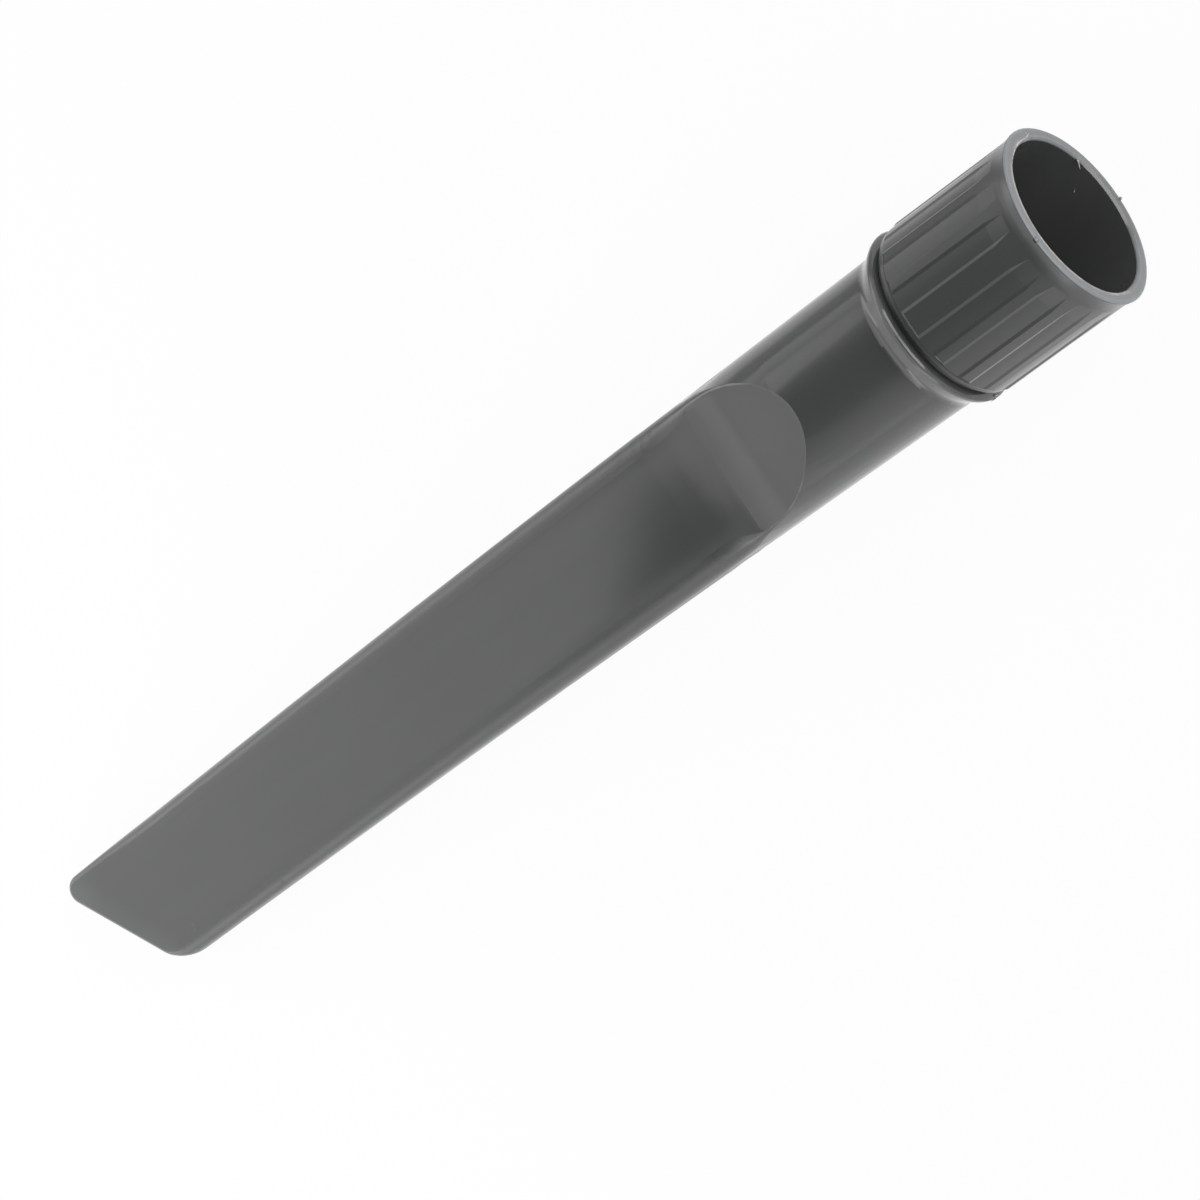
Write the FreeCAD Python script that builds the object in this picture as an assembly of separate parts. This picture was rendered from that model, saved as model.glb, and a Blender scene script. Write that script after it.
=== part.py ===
import FreeCAD, Part
import math
import os

V = FreeCAD.Vector

# Vacuum crevice tool: one moulded piece, with a round socket at one end and a flat slanted tip at the other.
# +X runs along the socket's axis and out of its mouth, +Z is square to the broad faces of the blade.
# The origin is on the axis, at the shoulder where the vacuum's tube comes to its stop.
# Lengths are in millimetres and angles in degrees. What is called "at" is measured from the mouth to the tip.

# The socket and the wall round it
socket_radius = 17.6
socket_depth = 33.0
shoulder_height = 1.8
lead_in = 0.5

# The cuff that the hand grips, flared to a thin lip round the mouth
rim_wall = 2.75
rim_length = 0.5
rim_bevel = 0.35
flare_length = 1.6
flare_round = 9.0
cuff_wall = 2.3
cuff_length = 34.4
cuff_end_bevel = 0.9

# The flutes moulded along the cuff, as many on each side of the two wide ridges
flutes_per_side = 8
flute_depth = 0.3
flute_angle = 13.2
flute_slope = 24.0
wide_ridge_angle = 17.0
flute_start_at = 4.2
flute_runout = 4.5

# The low step at the cuff's end, then the groove and the bead
step_depth = 0.5
step_length = 0.9
step_bevel = 0.2
groove_width = 1.2
groove_depth = 1.7
groove_rise_length = 0.6
bead_wall = 2.3
bead_length = 0.9
bead_fall_length = 3.7
bead_bevel = 0.35
bead_back_round = 2.0
bead_foot_round = 4.0
bead_foot_length = 1.6

# The tube and the blade share one slightly conical outside, cut flat above and below
wall = 2.0
overall_length = 286.0
tip_radius = 14.8
scoop_at = 67.4
scoop_length = 20.0
scoop_angle = 25.2
bend_radius = 35.0
ease_at = 101.5
ease_angle = 3.4
ease_radius = 280.0
blade_root_thickness = 14.1
blade_tip_thickness = 8.8

# The rounds along the sides of the blade, small on the scoops, full on the blade and small again at the tip
scoop_edge_round = 0.7
blade_edge_round = 4.5
narrowing_length = 28.0
tip_edge_round = 2.0

# The blade leans a little to one side, and its tip is cut on a slant
bow_at = 110.0
bow = 1.55
tip_slant = 31.7
long_corner_round = 3.5
short_corner_round = 8.0

# Sizes that follow from those above
rim_radius = socket_radius + rim_wall
cuff_radius = socket_radius + cuff_wall
bead_radius = socket_radius + bead_wall
tube_radius = socket_radius - shoulder_height + wall
step_end_at = cuff_length + step_length
groove_end_at = step_end_at + groove_width
bead_at = groove_end_at + groove_rise_length
bead_back_at = bead_at + bead_length
bead_foot_at = bead_back_at + bead_fall_length
tube_at = bead_foot_at + bead_foot_length
narrowing_at = overall_length - narrowing_length
body_taper = (tube_radius - tip_radius) / (overall_length - socket_depth)
cut_margin = 30.0


def x_of(distance):
    """The x of a place given by its distance from the mouth."""
    return socket_depth - distance


def outside_radius(distance):
    return tube_radius - body_taper * (distance - socket_depth)


def centre_y(distance):
    past = max(0.0, distance - bow_at)
    return -bow * (past / (overall_length - bow_at)) ** 2


def blade_height(distance):
    """Half the blade's thickness."""
    share = (distance - ease_at) / (overall_length - ease_at)
    return (blade_root_thickness + (blade_tip_thickness - blade_root_thickness) * share) / 2


def point(distance, radius):
    return V(x_of(distance), 0, radius)


def outline_face(points, rounds):
    """A face from points in the XZ plane, with each corner rounded by its own radius, or left sharp at 0."""
    count = len(points)
    edges = []
    starts = []
    ends = []
    arcs = []
    for i, corner in enumerate(points):
        before = points[i - 1] - corner
        after = points[(i + 1) % count] - corner
        radius = rounds[i]
        if radius == 0:
            starts.append(corner)
            ends.append(corner)
            arcs.append(None)
            continue
        half = before.getAngle(after) / 2
        before.normalize()
        after.normalize()
        reach = radius / math.tan(half)
        bisector = before + after
        bisector.normalize()
        middle = corner + bisector * (radius / math.sin(half) - radius)
        starts.append(corner + before * reach)
        ends.append(corner + after * reach)
        arcs.append(middle)
    for i in range(count):
        if arcs[i] is not None:
            edges.append(Part.Arc(starts[i], arcs[i], ends[i]).toShape())
        following = starts[(i + 1) % count]
        if ends[i].distanceToPoint(following) > 1e-6:
            edges.append(Part.LineSegment(ends[i], following).toShape())
    return Part.Face(Part.Wire(edges))


def turned(points, rounds):
    return outline_face(points, rounds).revolve(V(0, 0, 0), V(1, 0, 0), 360)


def cuff_and_bead():
    """The turned outside from the mouth to the start of the tube, still solid."""
    step_radius = cuff_radius - step_depth
    groove_radius = cuff_radius - groove_depth
    corners = [
        (0, 0, 0),
        (0, rim_radius - rim_bevel, 0),
        (rim_bevel, rim_radius, 0),
        (rim_length, rim_radius, 0),
        (rim_length + flare_length, cuff_radius, flare_round),
        (cuff_length - cuff_end_bevel, cuff_radius, 0),
        (cuff_length, step_radius, 0),
        (step_end_at - step_bevel, step_radius, 0),
        (step_end_at, step_radius - step_bevel, 0),
        (step_end_at, groove_radius, 0),
        (groove_end_at, groove_radius, 0),
        (bead_at, bead_radius - bead_bevel, 0),
        (bead_at + bead_bevel, bead_radius, 0),
        (bead_back_at, bead_radius, bead_back_round),
        (bead_foot_at, outside_radius(bead_foot_at), bead_foot_round),
        (tube_at, outside_radius(tube_at), 0),
        (tube_at, 0, 0),
    ]
    points = [point(distance, radius) for distance, radius, _ in corners]
    rounds = [rounding for _, _, rounding in corners]
    return turned(points, rounds)


def flute():
    """One flute's cutter at the top of the cuff: a shallow trough with sloping sides and a run-out at its start."""
    floor_radius = cuff_radius - flute_depth
    top_radius = cuff_radius + flute_depth
    slope_angle = math.degrees(flute_depth / math.tan(math.radians(flute_slope)) / cuff_radius)
    sections = []
    end_at = cuff_length + step_length / 2
    for distance, floor in ((flute_start_at, cuff_radius), (flute_start_at + flute_runout, floor_radius)):
        sections.append(trough(distance, floor, top_radius, slope_angle))
    run_out = Part.makeLoft(sections, True, True)
    body = Part.Face(sections[1]).extrude(V(x_of(end_at) - x_of(flute_start_at + flute_runout), 0, 0))
    return run_out.fuse(body)


def trough(distance, floor_radius, top_radius, slope_angle):
    half_floor = flute_angle / 2 - slope_angle / 2
    rise = (top_radius - floor_radius) / flute_depth
    half_top = half_floor + slope_angle * rise
    def at(radius, angle):
        turn = math.radians(angle)
        return V(x_of(distance), radius * math.sin(turn), radius * math.cos(turn))
    left_floor = at(floor_radius, -half_floor)
    right_floor = at(floor_radius, half_floor)
    left_top = at(top_radius, -half_top)
    right_top = at(top_radius, half_top)
    return Part.Wire([
        Part.Arc(left_floor, at(floor_radius, 0), right_floor).toShape(),
        Part.LineSegment(right_floor, right_top).toShape(),
        Part.Arc(right_top, at(top_radius, 0), left_top).toShape(),
        Part.LineSegment(left_top, left_floor).toShape(),
    ])


def flutes():
    """All the flutes: a row down each side, between the wide ridges at the top and the bottom."""
    cutter = flute()
    first = (wide_ridge_angle + flute_angle) / 2
    pitch = (180 - 2 * first) / (flutes_per_side - 1)
    cutters = []
    for side in (1, -1):
        for i in range(flutes_per_side):
            copy = cutter.copy()
            copy.rotate(V(0, 0, 0), V(1, 0, 0), side * (first + i * pitch))
            cutters.append(copy)
    return cutters


def cone(inset, start_at, end_at):
    """The cone of the tube and blade, its radius less the inset, straight at first and then bowed."""
    start_radius = outside_radius(start_at) - inset
    bow_radius = outside_radius(bow_at) - inset
    straight = Part.makeCone(start_radius, bow_radius, bow_at - start_at, point(start_at, 0), V(-1, 0, 0))
    return straight.fuse([bowed(inset, bow_at, narrowing_at), bowed(inset, narrowing_at, end_at)])


def bowed(inset, start_at, end_at):
    rings = []
    for distance in (start_at, (start_at + end_at) / 2, end_at):
        centre = V(x_of(distance), centre_y(distance), 0)
        ring = Part.Circle(centre, V(1, 0, 0), outside_radius(distance) - inset)
        rings.append(Part.Wire(ring.toShape()))
    return Part.makeLoft(rings, True, False)


def side_profile(inset, start_at, end_at):
    """The slab seen from the side: tube height, then the scoops down to the blade, all moved in by the inset."""
    slope = math.tan(math.radians(scoop_angle))
    ease = math.tan(math.radians(ease_angle))
    clear = cut_margin * slope
    scoop_top = outside_radius(scoop_at) - inset / math.cos(math.radians(scoop_angle))
    eased = blade_height(ease_at) - inset
    # where the moved scoop line and the moved easing line cross
    cross_at = (scoop_top - eased + slope * scoop_at - ease * ease_at) / (slope - ease)
    upper = [
        (start_at, scoop_top + clear, 0),
        (scoop_at - cut_margin, scoop_top + clear, 0),
        (cross_at, eased + ease * (ease_at - cross_at), bend_radius + inset),
        (ease_at, eased, ease_radius),
        (end_at, blade_height(end_at) - inset, 0),
    ]
    if start_at > scoop_at - cut_margin:
        upper[0:2] = [(start_at, scoop_top + slope * (scoop_at - start_at), 0)]
    corners = upper + [(distance, -height, rounding) for distance, height, rounding in reversed(upper)]
    points = [V(x_of(distance), -cut_margin, height) for distance, height, _ in corners]
    rounds = [rounding for _, _, rounding in corners]
    return outline_face(points, rounds).extrude(V(0, 2 * cut_margin, 0))


def tip_cutter():
    """What the slanted cut takes away beyond the tip, the long corner being on the +Y side."""
    lean = math.tan(math.radians(tip_slant))
    reach = cut_margin
    points = [
        V(x_of(overall_length + lean * reach), reach, -reach),
        V(x_of(overall_length - lean * reach), -reach, -reach),
        V(x_of(overall_length + 2 * reach), -reach, -reach),
        V(x_of(overall_length + 2 * reach), reach, -reach),
    ]
    return Part.Face(Part.makePolygon(points + points[:1])).extrude(V(0, 0, 2 * reach))


def spans(edge):
    return [vertex.Point for vertex in edge.Vertexes]


def tip_corners(body, side):
    """The upright edge where the slanted tip meets one side of the blade."""
    found = []
    for edge in body.Edges:
        ends = spans(edge)
        if len(ends) < 2:
            continue
        beyond_blade = max(end.x for end in ends) < x_of(overall_length - cut_margin)
        upright = min(end.z for end in ends) < 0 < max(end.z for end in ends)
        if beyond_blade and upright and edge.CenterOfMass.y * side > 0:
            found.append(edge)
    return found


def edge_radius(place):
    """The round along the rim of the flats: small on the scoops, wide where the blade starts, less at the tip."""
    distance = socket_depth - place.x
    if distance < scoop_at + scoop_length:
        return scoop_edge_round
    if distance < narrowing_at + 1:
        return blade_edge_round
    return tip_edge_round


def rim_of_flats(body, start_at):
    """Each edge round the two flats and their scoops, as its number and the radii at its end and its start."""
    found = []
    for number, edge in enumerate(body.Edges, 1):
        ends = spans(edge)
        if len(ends) < 2 or max(end.x for end in ends) > x_of(start_at):
            continue
        straight_across = edge.BoundBox.XLength < 0.001
        if straight_across or min(end.z for end in ends) < 0 < max(end.z for end in ends):
            continue
        start = edge.valueAt(edge.FirstParameter)
        end = edge.valueAt(edge.LastParameter)
        found.append((number, edge_radius(end), edge_radius(start)))
    return found


def rounded(body, edges):
    """The body with its listed edges rounded, each from one radius to the other."""
    document = FreeCAD.newDocument()
    base = document.addObject("Part::Feature", "Base")
    base.Shape = body
    fillet = document.addObject("Part::Fillet", "Fillet")
    fillet.Base = base
    fillet.Edges = edges
    document.recompute()
    return fillet.Shape.copy()


def tube_and_blade():
    """The solid outside of the tube, the scoops and the blade."""
    end_at = overall_length + cut_margin
    body = cone(0, tube_at, end_at).common(side_profile(0, tube_at - 1, end_at + 1))
    body = body.cut(tip_cutter())
    body = body.makeFillet(short_corner_round, tip_corners(body, -1))
    body = body.makeFillet(long_corner_round, tip_corners(body, 1))
    return rounded(body, rim_of_flats(body, tube_at + 1))


def duct():
    """The hollow behind the shoulder, one wall inside the tube and blade, running out past the tip."""
    end_at = overall_length + cut_margin
    return cone(wall, socket_depth, end_at).common(side_profile(wall, socket_depth - 1, end_at + 1))


def socket():
    corners = [
        (-1, 0),
        (-1, socket_radius + lead_in + 1),
        (lead_in, socket_radius),
        (socket_depth, socket_radius),
        (socket_depth, 0),
    ]
    points = [point(distance, radius) for distance, radius in corners]
    return turned(points, [0] * len(points))


def crevice_tool():
    shell = cuff_and_bead().cut(flutes()).fuse(tube_and_blade())
    return shell.cut([socket(), duct()]).removeSplitter()


os.makedirs("parts", exist_ok=True)
shape = crevice_tool()
shape.exportStep("parts/crevice_tool.step")
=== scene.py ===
import math

import bmesh
import bpy
from mathutils import Matrix, Vector


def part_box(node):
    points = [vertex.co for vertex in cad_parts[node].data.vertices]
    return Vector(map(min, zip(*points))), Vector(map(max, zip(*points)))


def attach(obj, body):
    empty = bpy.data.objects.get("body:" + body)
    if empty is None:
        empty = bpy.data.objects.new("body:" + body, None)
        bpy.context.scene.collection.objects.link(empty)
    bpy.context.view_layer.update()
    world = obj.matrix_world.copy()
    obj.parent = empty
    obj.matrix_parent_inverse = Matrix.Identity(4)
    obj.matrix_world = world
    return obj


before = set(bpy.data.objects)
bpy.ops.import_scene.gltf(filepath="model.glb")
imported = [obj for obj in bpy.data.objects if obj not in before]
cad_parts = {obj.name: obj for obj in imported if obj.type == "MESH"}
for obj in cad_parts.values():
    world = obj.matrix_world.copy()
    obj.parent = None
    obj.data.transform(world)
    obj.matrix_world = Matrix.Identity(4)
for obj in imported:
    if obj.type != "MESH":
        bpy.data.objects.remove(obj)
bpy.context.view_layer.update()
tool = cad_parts["crevice_tool"]
toolLow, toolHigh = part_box("crevice_tool")
mouthX = toolHigh[0]  # the plane of the rim's face
print("frame loaded, rim at", round(mouthX, 4), "tip at", round(toolLow[0], 4))


# Shader maths: a socket that takes part in ordinary sums
class Sock:
    def __init__(self, tree, socket):
        self.tree = tree
        self.socket = socket

    def maths(self, operation, *values):
        return self.tree.add("Math", {"operation": operation}, dict(enumerate(values)))

    def __add__(self, other):
        return self.maths("ADD", self, other)

    def __radd__(self, other):
        return self.maths("ADD", other, self)

    def __sub__(self, other):
        return self.maths("SUBTRACT", self, other)

    def __rsub__(self, other):
        return self.maths("SUBTRACT", other, self)

    def __mul__(self, other):
        return self.maths("MULTIPLY", self, other)

    def __rmul__(self, other):
        return self.maths("MULTIPLY", other, self)

    def __truediv__(self, other):
        return self.maths("DIVIDE", self, other)

    def __rtruediv__(self, other):
        return self.maths("DIVIDE", other, self)

    def __abs__(self):
        return self.maths("ABSOLUTE", self)

    def larger(self, other):
        return self.maths("MAXIMUM", self, other)

    def between(self, low, high):
        return self.maths("MINIMUM", self.larger(low), high)

    # 0 at the first value and 1 at the second, with a soft start and end
    def fade(self, start, end):
        limits = {"Value": self, "From Min": start, "From Max": end}
        return self.tree.add("MapRange", {"interpolation_type": "SMOOTHSTEP"}, limits)

    # another output of the same node
    def out(self, name):
        return Sock(self.tree, self.socket.node.outputs[name])


# The node tree of a material or of the world, with one way to add a node
class Tree:
    def __init__(self, owner):
        owner.use_nodes = True
        self.nodes = owner.node_tree.nodes
        self.links = owner.node_tree.links
        self.nodes.clear()

    def add(self, kind, settings={}, inputs={}, output=0):
        node = self.nodes.new("ShaderNode" + kind)
        for name, value in settings.items():
            if name == "stops":
                for at, level in value:
                    node.color_ramp.elements.new(at).color = (level, level, level, 1)
                # the two stops that a new ramp comes with
                node.color_ramp.elements.remove(node.color_ramp.elements[0])
                node.color_ramp.elements.remove(node.color_ramp.elements[-1])
            else:
                setattr(node, name, value)
        for name, value in inputs.items():
            if isinstance(value, Sock):
                self.links.new(value.socket, node.inputs[name])
            else:
                node.inputs[name].default_value = value
        return Sock(self, node.outputs[output]) if len(node.outputs) else None

    # the x, y and z of a point or of a direction
    def split(self, place):
        x = self.add("SeparateXYZ", {}, {"Vector": place})
        return x, x.out("Y"), x.out("Z")

    def noise(self, place, stretch, scale, detail):
        spread = self.add("Mapping", {}, {"Vector": place, "Scale": stretch})
        return self.add("TexNoise", {}, {"Vector": spread, "Scale": scale, "Detail": detail})

    def mix(self, factor, first, second):
        return self.add("Mix", {"data_type": "RGBA"}, {0: factor, 6: first, 7: second}, 2)

    # how far the surface is from a point
    def distance(self, place, point):
        return self.add("VectorMath", {"operation": "DISTANCE"}, {0: place, 1: point}, "Value")

    def bump(self, height, strength=1.0, distance=1.0):
        return self.add("Bump", {}, {"Strength": strength, "Distance": distance, "Height": height})

    def surface(self, colour, gloss, bump):
        surface = self.add("BsdfPrincipled", {}, {"Base Color": colour, "Roughness": gloss, "Normal": bump})
        self.add("OutputMaterial", {}, {"Surface": surface})

    # a glow where the share is 1, and clear where it is 0
    def glow(self, level, share):
        clear = self.add("BsdfTransparent")
        white = self.add("Emission", {}, {"Color": (1, 1, 1, 1), "Strength": level})
        surface = self.add("MixShader", {}, {0: share, 1: clear, 2: white})
        self.add("OutputMaterial", {}, {"Surface": surface})


# In all the values below, a noise is its stretch along x, y and z, its scale and its detail. A pair whose
# name ends in Fade is where something is 0 and where it is 1: x, y, z or a distance in metres, or a noise's
# level. A radius is the distance from the tool's axis.
plastic = {
    "dark": (0.0640, 0.0665, 0.0660, 1),
    "pale": (0.0740, 0.0765, 0.0760, 1),
    "paleFade": (0.3, 0.7),
    "paleOnShadedCuff": 0.1,                          # how much of the pale shows on the cuff, which is painted darker as a painted shade
    "flow": ((7.0, 75.0, 75.0), 1.0, 4.0),      # flow marks run along the tool
    "flowShare": 0.65,
    "cloud": ((1, 1, 1), 28.0, 3.0),
    "cloudGloss": 0.05,
    "grain": ((1, 1, 1), 2400.0, 2.0),
    "grainGloss": 0.02,
    "grainHeight": 0.0000009,
    "wave": ((0.6, 1, 1), 60.0, 1.0),
    "waveHeight": 0.000018,
    "gloss": 0.09,                              # roughness, here and in the names below
    "bladeEdgeGloss": 0.30,
    "flareGloss": 0.26,
}

# The parts of the tool that the material tells apart
zones = {
    "socketFade": (-0.002, -0.001),
    "insideRadiusFade": (0.0184, 0.0180),
    "outsideRadiusFade": (0.0182, 0.0186),
    "cuffFade": (-0.0015, -0.0005),
    "flareFade": (0.0130, 0.0290),
    "bladeFade": (-0.056, -0.078),
    "bladeEdgeFade": (0.0085, 0.0150),
}

rimWear = {
    "worn": (0.165, 0.170, 0.173, 1),
    "gloss": 0.42,
    "depth": 0.00045,                           # how far it reaches behind the rim's face
    "patches": ((1, 1, 1), 400.0, 3.0),
    "patchLevels": (0.82, 0.36),                # the least wear, and what the patches add
    "edge": (0.20, 0.212, 0.220, 1),            # along the outer edge
    "edgeRadiusFade": (0.0197, 0.0202),
    "bare": (0.33, 0.315, 0.305, 1),            # in patches along the inner edge
    "bareRadiusFade": (0.01875, 0.01825),
    "barePatches": ((1, 1, 1), 260.0, 2.0),
    "barePatchFade": (0.35, 0.6),
    "bareDepthFade": (0.0300, 0.0320),
    "bareHeightFade": (-0.010, 0.004),
    "middleFades": ((0.0182, 0.0188), (0.0198, 0.0192)),
    "middleLess": 0.22,                         # how much less the middle of the face is worn
    "farSide": (0.0330, -0.0026, -0.0188),
    "farSideFade": (0.012, 0.004),
    "farSideRadiusFade": (0.0200, 0.0192),
    "farSideLess": 0.6,
}

tipWearAndHighlight = {
    "edge": (-0.25293, 0.617),      # x of the slanted edge on the middle line, and its slant
    "square": 0.851,                # makes a distance along the tool one square to the edge
    # a thin line right at the slanted edge, which is a painted highlight
    "highlightLineFade": (0.0016, 0.0008),
    "line": 0.25,
    "bandFade": (0.007, 0.0),
    "band": 0.20,
    "longCorner": (-0.2575, 0.0105, 0.0042),
    "cornerFade": (0.010, 0.001),
    "corner": 0.20,
}

marks = {
    "scuffs": ((0.9, 24.0, 24.0), 42.0, 3.0),
    "scuffFade": (0.70, 0.76),
    "scuffPatches": ((1, 1, 1), 35.0, 2.0),
    "scuffPatchFade": (0.5, 0.65),
    "scuffWear": 0.10,
    "scuffGloss": 0.08,
    "partingFade": (0.00016, 0.00004),      # off the plane where the two halves of the mould meet
    "partingWear": 0.10,
    "partingHeight": 0.000012,
    "crescent": (-0.2353, -0.0114, 0.0047),
    "crescentFades": ((0.0008, 0.0011), (0.0015, 0.0012)),
    "crescentHalfFade": (-0.2353, -0.2346),
    "crescentPatches": ((1, 1, 1), 1800.0, 2.0),
    "crescentPatchFade": (0.4, 0.6),
    "crescentWear": 0.25,
    "crescentGloss": 0.1,
    "crescentHeight": 0.00001,
    "nick": (0.0329, -0.0012, 0.0201),
    "nickFade": (0.0008, 0.0002),
    "nickDepth": 0.0003,
}


# The rim's face is worn pale and dull, a little unevenly and less on its far side
def findRimWear(tree, place, along, radius):
    worn = along.fade(mouthX - rimWear["depth"], mouthX - rimWear["depth"] / 2)
    least, more = rimWear["patchLevels"]
    worn = worn * (least + more * tree.noise(place, *rimWear["patches"]))
    farSide = tree.distance(place, rimWear["farSide"]).fade(*rimWear["farSideFade"])
    farSide = farSide * radius.fade(*rimWear["farSideRadiusFade"])
    rising, falling = rimWear["middleFades"]
    middle = radius.fade(*rising) * radius.fade(*falling)
    return worn * (1 - farSide * rimWear["farSideLess"]) * (1 - middle * rimWear["middleLess"])


# Worn plastic is paler still along the rim's edges
def mixRimColour(tree, place, along, up, radius):
    bare = radius.fade(*rimWear["bareRadiusFade"])
    bare = bare * tree.noise(place, *rimWear["barePatches"]).fade(*rimWear["barePatchFade"])
    bare = bare * along.fade(*rimWear["bareDepthFade"]) * up.fade(*rimWear["bareHeightFade"])
    edge = radius.fade(*rimWear["edgeRadiusFade"])
    return tree.mix(bare, tree.mix(edge, rimWear["worn"], rimWear["edge"]), rimWear["bare"])


# A band along the tip's slanted edge and its long corner are worn a little paler, and a thin line right at
# the slanted edge is a painted highlight
def findTipWearAndHighlight(tree, place, along, across):
    edgeX, slant = tipWearAndHighlight["edge"]
    fromEdge = (along - edgeX + slant * across) * tipWearAndHighlight["square"]
    # the thin line at the edge is a painted highlight; the band and the corner are wear
    line = fromEdge.fade(*tipWearAndHighlight["highlightLineFade"]) * tipWearAndHighlight["line"]
    band = fromEdge.fade(*tipWearAndHighlight["bandFade"]) * tipWearAndHighlight["band"]
    corner = tree.distance(place, tipWearAndHighlight["longCorner"]).fade(*tipWearAndHighlight["cornerFade"]) * tipWearAndHighlight["corner"]
    return line + band + corner


# A faint crescent mark near the tip
def findCrescent(tree, place, along):
    fromMark = tree.distance(place, marks["crescent"])
    rising, falling = marks["crescentFades"]
    crescent = fromMark.fade(*rising) * fromMark.fade(*falling) * along.fade(*marks["crescentHalfFade"])
    return crescent * tree.noise(place, *marks["crescentPatches"]).fade(*marks["crescentPatchFade"])


def makePlastic():
    material = bpy.data.materials.new("greyPlastic")
    tree = Tree(material)
    place = tree.add("TexCoord", output="Object")
    along, across, up = tree.split(place)
    radius = tree.distance(tree.add("Mapping", {}, {"Vector": place, "Scale": (0, 1, 1)}), (0, 0, 0))
    flow = tree.noise(place, *plastic["flow"])
    cloud = tree.noise(place, *plastic["cloud"])
    grain = tree.noise(place, *plastic["grain"])
    wave = tree.noise(place, *plastic["wave"])

    outside = radius.fade(*zones["outsideRadiusFade"])
    cuff = along.fade(*zones["cuffFade"]) * outside
    flare = along.fade(*zones["flareFade"]) * outside
    bladeEdge = abs(across).fade(*zones["bladeEdgeFade"]) * along.fade(*zones["bladeFade"])
    inside = along.fade(*zones["socketFade"]) * radius.fade(*zones["insideRadiusFade"])

    rim = findRimWear(tree, place, along, radius)
    tip = findTipWearAndHighlight(tree, place, along, across)
    crescent = findCrescent(tree, place, along)
    nick = tree.distance(place, marks["nick"]).fade(*marks["nickFade"])
    scuffs = tree.noise(place, *marks["scuffs"]).fade(*marks["scuffFade"])
    scuffs = scuffs * tree.noise(place, *marks["scuffPatches"]).fade(*marks["scuffPatchFade"])
    # the mould leaves its line along both sides, but none in the socket
    parting = abs(up).fade(*marks["partingFade"]) * (1 - inside)

    paler = (flow * plastic["flowShare"] + cloud * (1 - plastic["flowShare"])).fade(*plastic["paleFade"])
    # the cuff gets little of the pale: a painted shade that makes it darker
    paler = paler * (1 - cuff * (1 - plastic["paleOnShadedCuff"]))
    colour = tree.mix(paler, plastic["dark"], plastic["pale"])
    # the wear, with the painted highlight at the tip's edge, turns the colour towards the worn colours
    wearAndTipHighlight = rim + scuffs * marks["scuffWear"] + parting * marks["partingWear"]
    wearAndTipHighlight = (wearAndTipHighlight + crescent * marks["crescentWear"] + tip).between(0, 1)
    colour = tree.mix(wearAndTipHighlight, colour, mixRimColour(tree, place, along, up, radius))

    gloss = plastic["gloss"] + (cloud - 0.5) * plastic["cloudGloss"] + (grain - 0.5) * plastic["grainGloss"]
    gloss = gloss + scuffs * marks["scuffGloss"] + crescent * marks["crescentGloss"]
    # the worn rim, the blade's rounded edges and the cuff's flare are duller
    gloss = gloss + rim * (rimWear["gloss"] - plastic["gloss"])
    gloss = gloss + bladeEdge * (plastic["bladeEdgeGloss"] - plastic["gloss"])
    gloss = gloss + flare * (1 - rim) * (plastic["flareGloss"] - plastic["gloss"])

    height = grain * plastic["grainHeight"] + wave * plastic["waveHeight"] + parting * marks["partingHeight"]
    height = height + crescent * marks["crescentHeight"] - nick * marks["nickDepth"]
    tree.surface(colour, gloss, tree.bump(height))
    return material


flash = {
    "thin": (0.48, 0.47, 0.465, 1),
    "thick": (0.20, 0.20, 0.205, 1),
    "patches": ((1, 1, 1), 1500.0, 3.0),
    "patchFade": (0.35, 0.65),
    "gloss": 0.3,
    "patchGloss": 0.1,
    "bump": 0.5,
    "patchHeight": 0.00002,
}


# Moulding flash is thin enough to let light through, so it looks paler than the wall
def makeFlash():
    material = bpy.data.materials.new("palePlasticFlash")
    tree = Tree(material)
    place = tree.add("TexCoord", output="Object")
    patches = tree.noise(place, *flash["patches"]).fade(*flash["patchFade"])
    colour = tree.mix(patches, flash["thick"], flash["thin"])
    gloss = flash["gloss"] + patches * flash["patchGloss"]
    tree.surface(colour, gloss, tree.bump(patches, flash["bump"], flash["patchHeight"]))
    return material


tool.data.materials.clear()
tool.data.materials.append(makePlastic())
flashPlastic = makeFlash()
print("plastic made")


# A finished bmesh becomes an object of the scene
def addObject(name, mesh, material):
    data = bpy.data.meshes.new(name)
    mesh.to_mesh(data)
    mesh.free()
    data.materials.append(material)
    thing = bpy.data.objects.new(name, data)
    bpy.context.scene.collection.objects.link(thing)
    return thing


def addPiece(name, mesh):
    bmesh.ops.recalc_face_normals(mesh, faces=mesh.faces)
    for face in mesh.faces:
        face.smooth = True
    piece = addObject(name, mesh, flashPlastic)
    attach(piece, "root")


# A point on a ring round the tool's axis; the angle is 0 on top and grows towards -Y
def onRing(x, radius, degrees):
    turn = math.radians(degrees)
    return Vector((x, -radius * math.sin(turn), radius * math.cos(turn)))


whisker = {
    "foot": (0.0329, 0.01765, -144.5),      # place along the tool, radius, angle
    "reach": (0.0, -0.0021, 0.0015),        # from its foot to its point
    "faces": (0.6, 0.2, 0.8),
    "length": 0.0025,
    "sunk": 0.08,                           # the share of its length that is inside the wall
    "width": 0.00052,
    "thickness": 0.00018,
    "point": 0.24,                          # how wide its point is, as a share of its foot
    "curl": 0.0005,
    "sides": 8,
    "cuts": 7,
}


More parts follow.
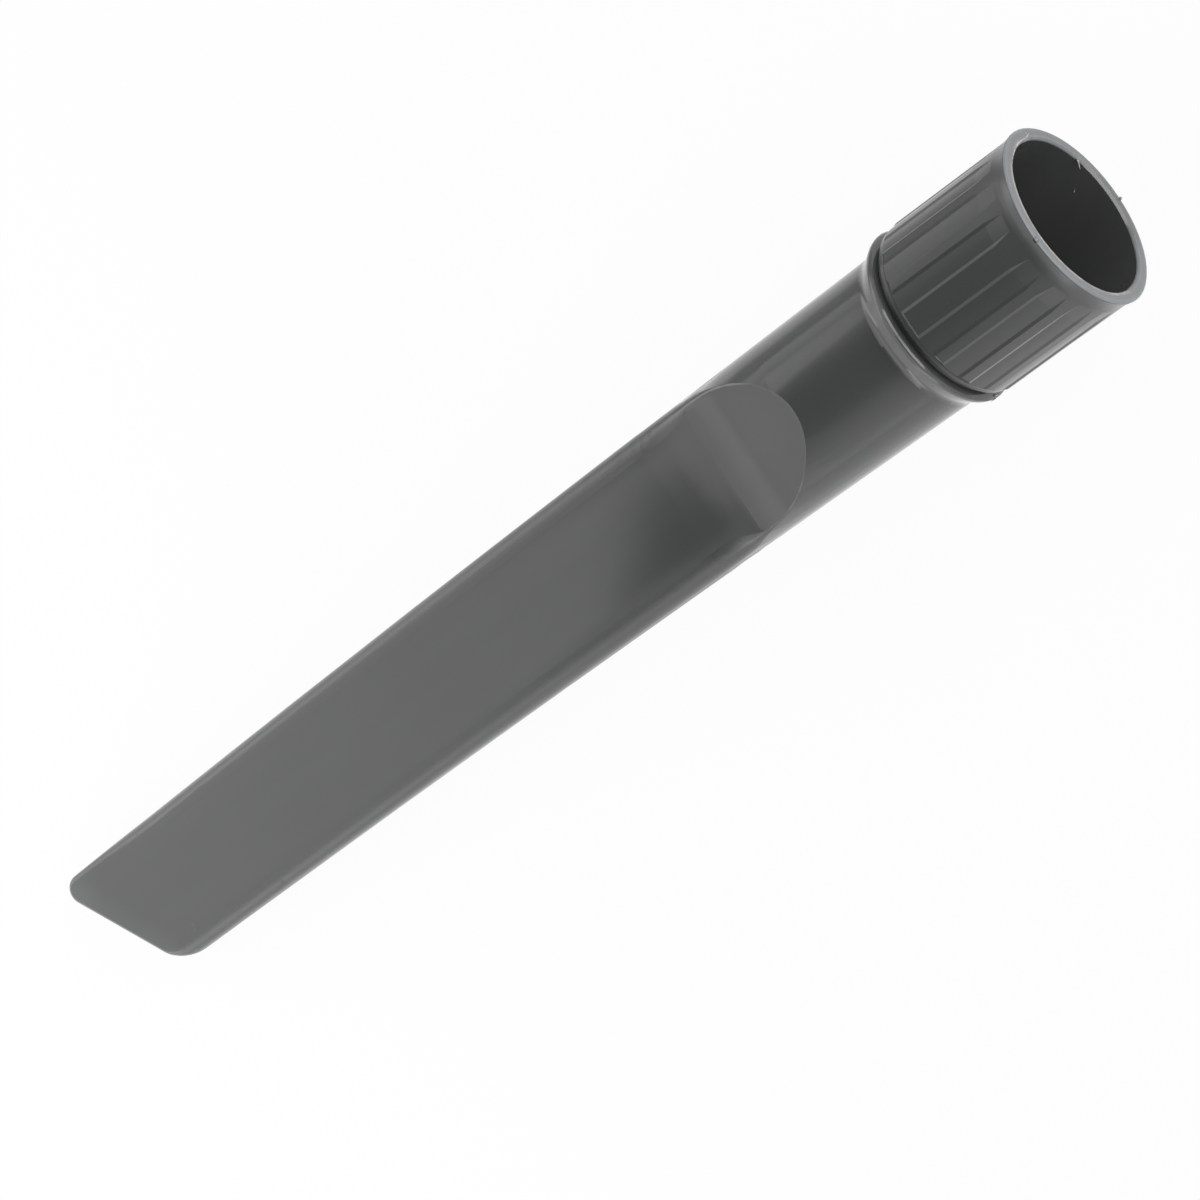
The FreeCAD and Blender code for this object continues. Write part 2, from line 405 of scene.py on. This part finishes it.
# The sliver of flash that hangs from the rim's inner edge
def makeWhisker():
    mesh = bmesh.new()
    bmesh.ops.create_cone(mesh, cap_ends=True, segments=whisker["sides"], radius1=0.5,
                          radius2=0.5 * whisker["point"], depth=1.0)
    bmesh.ops.translate(mesh, verts=mesh.verts, vec=(0, 0, 0.5 - whisker["sunk"]))
    lengthwise = [edge for edge in mesh.edges if abs(edge.verts[0].co.z - edge.verts[1].co.z) > 0.5]
    bmesh.ops.subdivide_edges(mesh, edges=lengthwise, cuts=whisker["cuts"])
    for vert in mesh.verts:
        vert.co.x *= whisker["width"]
        vert.co.y = vert.co.y * whisker["thickness"] + whisker["curl"] * vert.co.z ** 2
        vert.co.z *= whisker["length"]
    foot = onRing(*whisker["foot"])
    reach = Vector(whisker["reach"]).normalized()
    wide = reach.cross(Vector(whisker["faces"])).normalized()
    turn = Matrix((wide, reach.cross(wide), reach)).transposed().to_4x4()
    bmesh.ops.transform(mesh, verts=mesh.verts, matrix=Matrix.Translation(foot) @ turn)
    addPiece("rimWhisker", mesh)


burr = {
    "from": -98.0,              # angles of its two ends
    "to": -52.0,
    "radius": 0.01808,
    "half": 0.00016,            # half its thickness
    "firstEnd": (0.5, 6),       # the share of that at its end, and how fast it grows from there
    "lastEnd": (0.15, 3),
    "rise": 0.0009,             # how far its first end runs out over the rim's face
    "riseShare": 0.25,          # over how much of its length
    "sides": 8,
    "steps": 36,
}


# The fine raised line that runs along the rim's inner edge and out over its face
def makeBurr():
    mesh = bmesh.new()
    start = onRing(mouthX, burr["radius"], burr["from"])
    ring = bmesh.ops.create_circle(mesh, segments=burr["sides"], radius=1.0)["verts"]
    outward = Vector((0, start.y, start.z)).normalized()
    side = Vector((1, 0, 0))
    for vert in ring:
        vert.co = start + (side * vert.co.x + outward * vert.co.y) * burr["half"]
    bmesh.ops.spin(mesh, geom=mesh.edges[:] + mesh.verts[:], cent=(0, 0, 0), axis=(1, 0, 0), dvec=(0, 0, 0),
                   angle=math.radians(burr["to"] - burr["from"]), steps=burr["steps"], use_merge=False,
                   use_duplicate=False)
    ends = [edge for edge in mesh.edges if edge.is_boundary]
    bmesh.ops.holes_fill(mesh, edges=ends, sides=burr["sides"])
    firstShare, firstGrowth = burr["firstEnd"]
    lastShare, lastGrowth = burr["lastEnd"]
    for vert in mesh.verts:
        degrees = math.degrees(math.atan2(-vert.co.y, vert.co.z))
        share = (degrees - burr["from"]) / (burr["to"] - burr["from"])
        middle = onRing(mouthX, burr["radius"], degrees)
        slim = min(1.0, firstShare + firstGrowth * share, lastShare + lastGrowth * (1 - share))
        out = burr["rise"] * max(0.0, 1 - share / burr["riseShare"]) ** 2
        vert.co = middle + (vert.co - middle) * slim + Vector((0, middle.y, middle.z)).normalized() * out
    addPiece("rimBurr", mesh)


nibs = {
    # name: place along the tool, radius and angle, half sizes along, round and out from the surface, tilt
    "rimNib": ((0.0330, 0.0200, 178.3), (0.0005, 0.0004, 0.0004), 0),
    "boreFleck": ((0.0273, 0.01752, -161.0), (0.00045, 0.00012, 0.0001), -38),
    "beadNib": ((-0.00385, 0.0194, 89.5), (0.0003, 0.0003, 0.00026), 0),
    "beadSeamNib": ((-0.0049, 0.01988, 90.0), (0.0007, 0.00018, 0.00012), 0),
    "rimSeamNib": ((0.0330, 0.0190, -94.6), (0.00010, 0.0003, 0.00022), 0),
}
nibShape = {"pull": 0.35, "narrower": 0.3, "below": 0.6}


# Small nibs of flash: rounded lumps, pulled to one side, narrower there and flatter below
def makeNib(name, place, halves, tilt):
    mesh = bmesh.new()
    bmesh.ops.create_icosphere(mesh, subdivisions=3, radius=1.0)
    for vert in mesh.verts:
        vert.co.x += nibShape["pull"] * vert.co.z ** 2
        vert.co.y *= 1 - nibShape["narrower"] * vert.co.x
        vert.co.z *= nibShape["below"] if vert.co.z < 0 else 1.0
    bmesh.ops.scale(mesh, verts=mesh.verts, vec=halves)
    spot = onRing(*place)
    turn = Matrix.Rotation(math.radians(place[2]), 4, "X") @ Matrix.Rotation(math.radians(tilt), 4, "Z")
    bmesh.ops.transform(mesh, verts=mesh.verts, matrix=Matrix.Translation(spot) @ turn)
    addPiece(name, mesh)


makeWhisker()
makeBurr()
for name, (place, halves, tilt) in nibs.items():
    makeNib(name, place, halves, tilt)
print("flash and nibs made")


# A flat square sheet, of which size is half a side
def makeSheet(size, degrees=0.0, axis="Z"):
    mesh = bmesh.new()
    bmesh.ops.create_grid(mesh, x_segments=1, y_segments=1, size=size)
    turn = Matrix.Rotation(math.radians(degrees), 3, axis)
    bmesh.ops.rotate(mesh, verts=mesh.verts, cent=(0, 0, 0), matrix=turn)
    return mesh


floor = {
    "bead": (-0.0044, -0.0200),         # the tool lies on its bead and on its tip: x and z of both
    "tip": (-0.2580, -0.0044),
    "size": 4.0,
    "colour": (0.9, 0.9, 0.9, 1),
    "seenWhite": 0.95,
    "mirroredWhite": 1.0,
    "shadeLeft": 0.5,                   # how much darker it mirrors beyond the +Y side
    "shadeLeftFade": (0.045, 0.09),
    "shadeTurn": (-0.13, 3),            # beyond this x the shade moves off sideways, by so much a metre
    "lightRight": 0.12,                 # how much brighter on the other side
    "lightRightFade": (0.01, -0.04),
    "lightBlade": 0.25,                 # and round the blade
    "lightBladeFade": (-0.13, -0.17),
}


def makeFloor():
    (beadX, beadZ), (tipX, tipZ) = floor["bead"], floor["tip"]
    lean = math.degrees(math.atan2(beadZ - tipZ, beadX - tipX))
    mesh = makeSheet(floor["size"], -lean, "Y")
    bmesh.ops.translate(mesh, verts=mesh.verts, vec=(beadX, 0, beadZ))
    material = bpy.data.materials.new("whiteFloor")
    tree = Tree(material)
    along, across, _ = tree.split(tree.add("TexCoord", output="Object"))
    seen = tree.add("LightPath", output="Is Camera Ray")
    mirrored = seen.out("Is Glossy Ray") + seen.out("Is Transmission Ray")
    turnX, turn = floor["shadeTurn"]
    shaded = (across - (turnX - along).between(0, 1) * turn).fade(*floor["shadeLeftFade"])
    uneven = across.fade(*floor["lightRightFade"]) * floor["lightRight"] - shaded * floor["shadeLeft"]
    uneven = uneven + along.fade(*floor["lightBladeFade"]) * floor["lightBlade"]
    paper = tree.add("BsdfDiffuse", {}, {"Color": floor["colour"]})
    white = tree.add("Emission", {}, {"Color": (1, 1, 1, 1), "Strength": 1 + mirrored * uneven})
    share = (seen * floor["seenWhite"] + mirrored * floor["mirroredWhite"]).between(0, 1)
    surface = tree.add("MixShader", {}, {0: share, 1: paper, 2: white})
    tree.add("OutputMaterial", {}, {"Surface": surface})
    addObject("floor", mesh, material)


sky = {
    # how bright the room is by height, from the horizon at 0 to overhead at 1, as shares of the brightest
    "levels": ((0.0, 1.0), (0.07, 0.96), (0.21, 0.85), (0.37, 0.74), (0.485, 0.645), (0.602, 0.53),
               (0.695, 0.30), (0.777, 0.15), (0.848, 0.09), (0.90, 0.06)),
    "brightest": 1.35,
    "behind": (1.08, 1.32),             # the level beyond the tip, near the horizon and higher up
    "behindFade": (-0.66, -0.80),
    "behindSideFade": (0.55, 0.25),
    "behindHeightFade": (0.13, 0.36),
}


def makeSky():
    world = bpy.data.worlds.new("studio")
    bpy.context.scene.world = world
    tree = Tree(world)
    along, across, up = tree.split(tree.add("TexCoord", output="Generated"))
    level = tree.add("ValToRGB", {"stops": sky["levels"]}, {"Fac": up}) * sky["brightest"]
    low, high = sky["behind"]
    behind = along.fade(*sky["behindFade"]) * abs(across).fade(*sky["behindSideFade"])
    level = level + (low + (high - low) * up.fade(*sky["behindHeightFade"]) - level) * behind
    background = tree.add("Background", {}, {"Color": level, "Strength": 1.0})
    tree.add("OutputWorld", {}, {"Surface": background})


# The lights are sheets that neither the camera nor a shadow shows
def addLight(name, mesh, material):
    light = addObject(name, mesh, material)
    light.visible_camera = False
    light.visible_shadow = False


tipLight = {
    "height": 0.357,
    "middle": -0.9,                     # x of its middle
    "size": 1.2,
    "level": 1.7,
    "more": 0.25,                       # added towards its far side
    "moreFade": (-0.34, -0.5),
    "moreRight": 0.8,                   # added towards the far corner on the -Y side
    "moreRightFades": ((-0.55, -0.75), (-0.4, -0.7)),
    "edge": (-0.3505, -0.005),          # where its near edge turns from straight to slanting
    "slant": 0.05,
    "edgeRight": (-0.1, 0.22),          # beyond this y the edge moves away, by so much a metre
    "edgeLeft": (0.25, 0.12),
    "soft": 0.003,                      # how wide the edge is
    "softRight": 0.16,
    "softLeft": (0.033, 0.03, 0.5),     # y, how far it goes on growing, by how much a metre
    "besideFades": ((0.033, 0.052), (0.18, 0.10), (-0.262, -0.285)),
    "farFade": (-0.95, -0.55),
    "farRight": 0.8,
    "cornerFade": (0.15, -0.15),        # the far corner on the +Y side
    "cornerSlant": 1.6,
    "rightFade": (-0.72, -0.45),
    "rightTurn": (-0.52, 2.4),
}


# The soft light over the tip, whose glow fades out at its edges
def makeTipLight():
    mesh = makeSheet(tipLight["size"])
    bmesh.ops.translate(mesh, verts=mesh.verts, vec=(tipLight["middle"], 0, tipLight["height"]))
    material = bpy.data.materials.new("tipLight")
    tree = Tree(material)
    along, across, _ = tree.split(tree.add("TexCoord", output="Object"))

    rightY, rightMove = tipLight["edgeRight"]
    leftY, leftMove = tipLight["edgeLeft"]
    rightward = (rightY - across).between(0, 1)
    leftward = (across - leftY).between(0, 0.5)
    edgeX, edgeY = tipLight["edge"]
    beyond = along - edgeX - (across - edgeY).between(0, tipLight["slant"])
    beyond = beyond + rightward * rightMove + leftward * leftMove
    softY, softReach, softMore = tipLight["softLeft"]
    soft = tipLight["soft"] + rightward * tipLight["softRight"]
    soft = soft + (across - softY).between(0, softReach) * softMore

    # beside the slant the light reaches nearer, with a soft edge
    inner, outer, near = tipLight["besideFades"]
    beside = across.fade(*inner) * across.fade(*outer) * along.fade(*near)
    share = beside.larger((beyond / soft).fade(1, -1))
    share = share * (along + rightward * tipLight["farRight"]).fade(*tipLight["farFade"])
    share = share * (across + along * tipLight["cornerSlant"]).fade(*tipLight["cornerFade"])
    turnX, turn = tipLight["rightTurn"]
    share = share * (across + (turnX - along).between(0, 1) * turn).fade(*tipLight["rightFade"])

    level = tipLight["level"] + tipLight["more"] * along.fade(*tipLight["moreFade"])
    farther, sideways = tipLight["moreRightFades"]
    level = level + tipLight["moreRight"] * across.fade(*sideways) * along.fade(*farther)
    tree.glow(level, share)
    addLight("tipLight", mesh, material)


sideLights = {
    # name: y, where its near end fades in along x, level
    "leftLight": (0.40, (-0.300, -0.330), 2.6),
    "rightLight": (-0.40, (-0.380, -0.480), 2.9),
}
sideLightAt = {"end": -1.3, "low": -0.01, "high": 0.26, "soft": 0.1}


# Low upright lights on both sides of the blade, which give its edges their shine
def makeSideLight(name, y, near, level):
    mesh = makeSheet(0.5, 90, "X")
    long = near[0] - sideLightAt["end"]
    high = sideLightAt["high"] - sideLightAt["low"]
    bmesh.ops.scale(mesh, verts=mesh.verts, vec=(long, 1, high))
    bmesh.ops.translate(mesh, verts=mesh.verts, vec=(near[0] - long / 2, y, sideLightAt["low"] + high / 2))
    material = bpy.data.materials.new(name)
    tree = Tree(material)
    along, _, up = tree.split(tree.add("TexCoord", output="Object"))
    share = along.fade(*near) * up.fade(sideLightAt["high"], sideLightAt["high"] - sideLightAt["soft"])
    tree.glow(level, share)
    addLight(name, mesh, material)


mouthLight = {
    "x": 0.7,
    "middle": 0.2,      # z of its middle
    "width": 0.8,
    "height": 0.4,
    "level": 5.0,
}


# The upright light in front of the mouth
def makeMouthLight():
    mesh = makeSheet(0.5, -90, "Y")
    bmesh.ops.scale(mesh, verts=mesh.verts, vec=(1, mouthLight["width"], mouthLight["height"]))
    bmesh.ops.translate(mesh, verts=mesh.verts, vec=(mouthLight["x"], 0, mouthLight["middle"]))
    material = bpy.data.materials.new("mouthLight")
    tree = Tree(material)
    white = tree.add("Emission", {}, {"Color": (1, 1, 1, 1), "Strength": mouthLight["level"]})
    tree.add("OutputMaterial", {}, {"Surface": white})
    addLight("mouthLight", mesh, material)


makeFloor()
makeSky()
makeTipLight()
for name, (y, near, level) in sideLights.items():
    makeSideLight(name, y, near, level)
makeMouthLight()
print("floor and lights made")


view = {
    "at": (0.643281, -0.117777, 1.231304),
    "right": (0.690110, -0.550004, -0.470365),
    "down": (-0.504739, -0.831566, 0.231812),
    "forward": (-0.518629, 0.077432, -0.851486),
    "lens": 210.744,
    "sensor": 36,
}


def makeCamera():
    data = bpy.data.cameras.new("camera")
    data.lens = view["lens"]
    data.sensor_width = view["sensor"]
    camera = bpy.data.objects.new("camera", data)
    bpy.context.scene.collection.objects.link(camera)
    turn = Matrix((Vector(view["right"]), -Vector(view["down"]), -Vector(view["forward"]))).transposed()
    camera.matrix_world = Matrix.Translation(view["at"]) @ turn.to_4x4()
    bpy.context.scene.camera = camera


makeCamera()
bpy.context.scene.view_settings.view_transform = "Standard"
print("camera set")
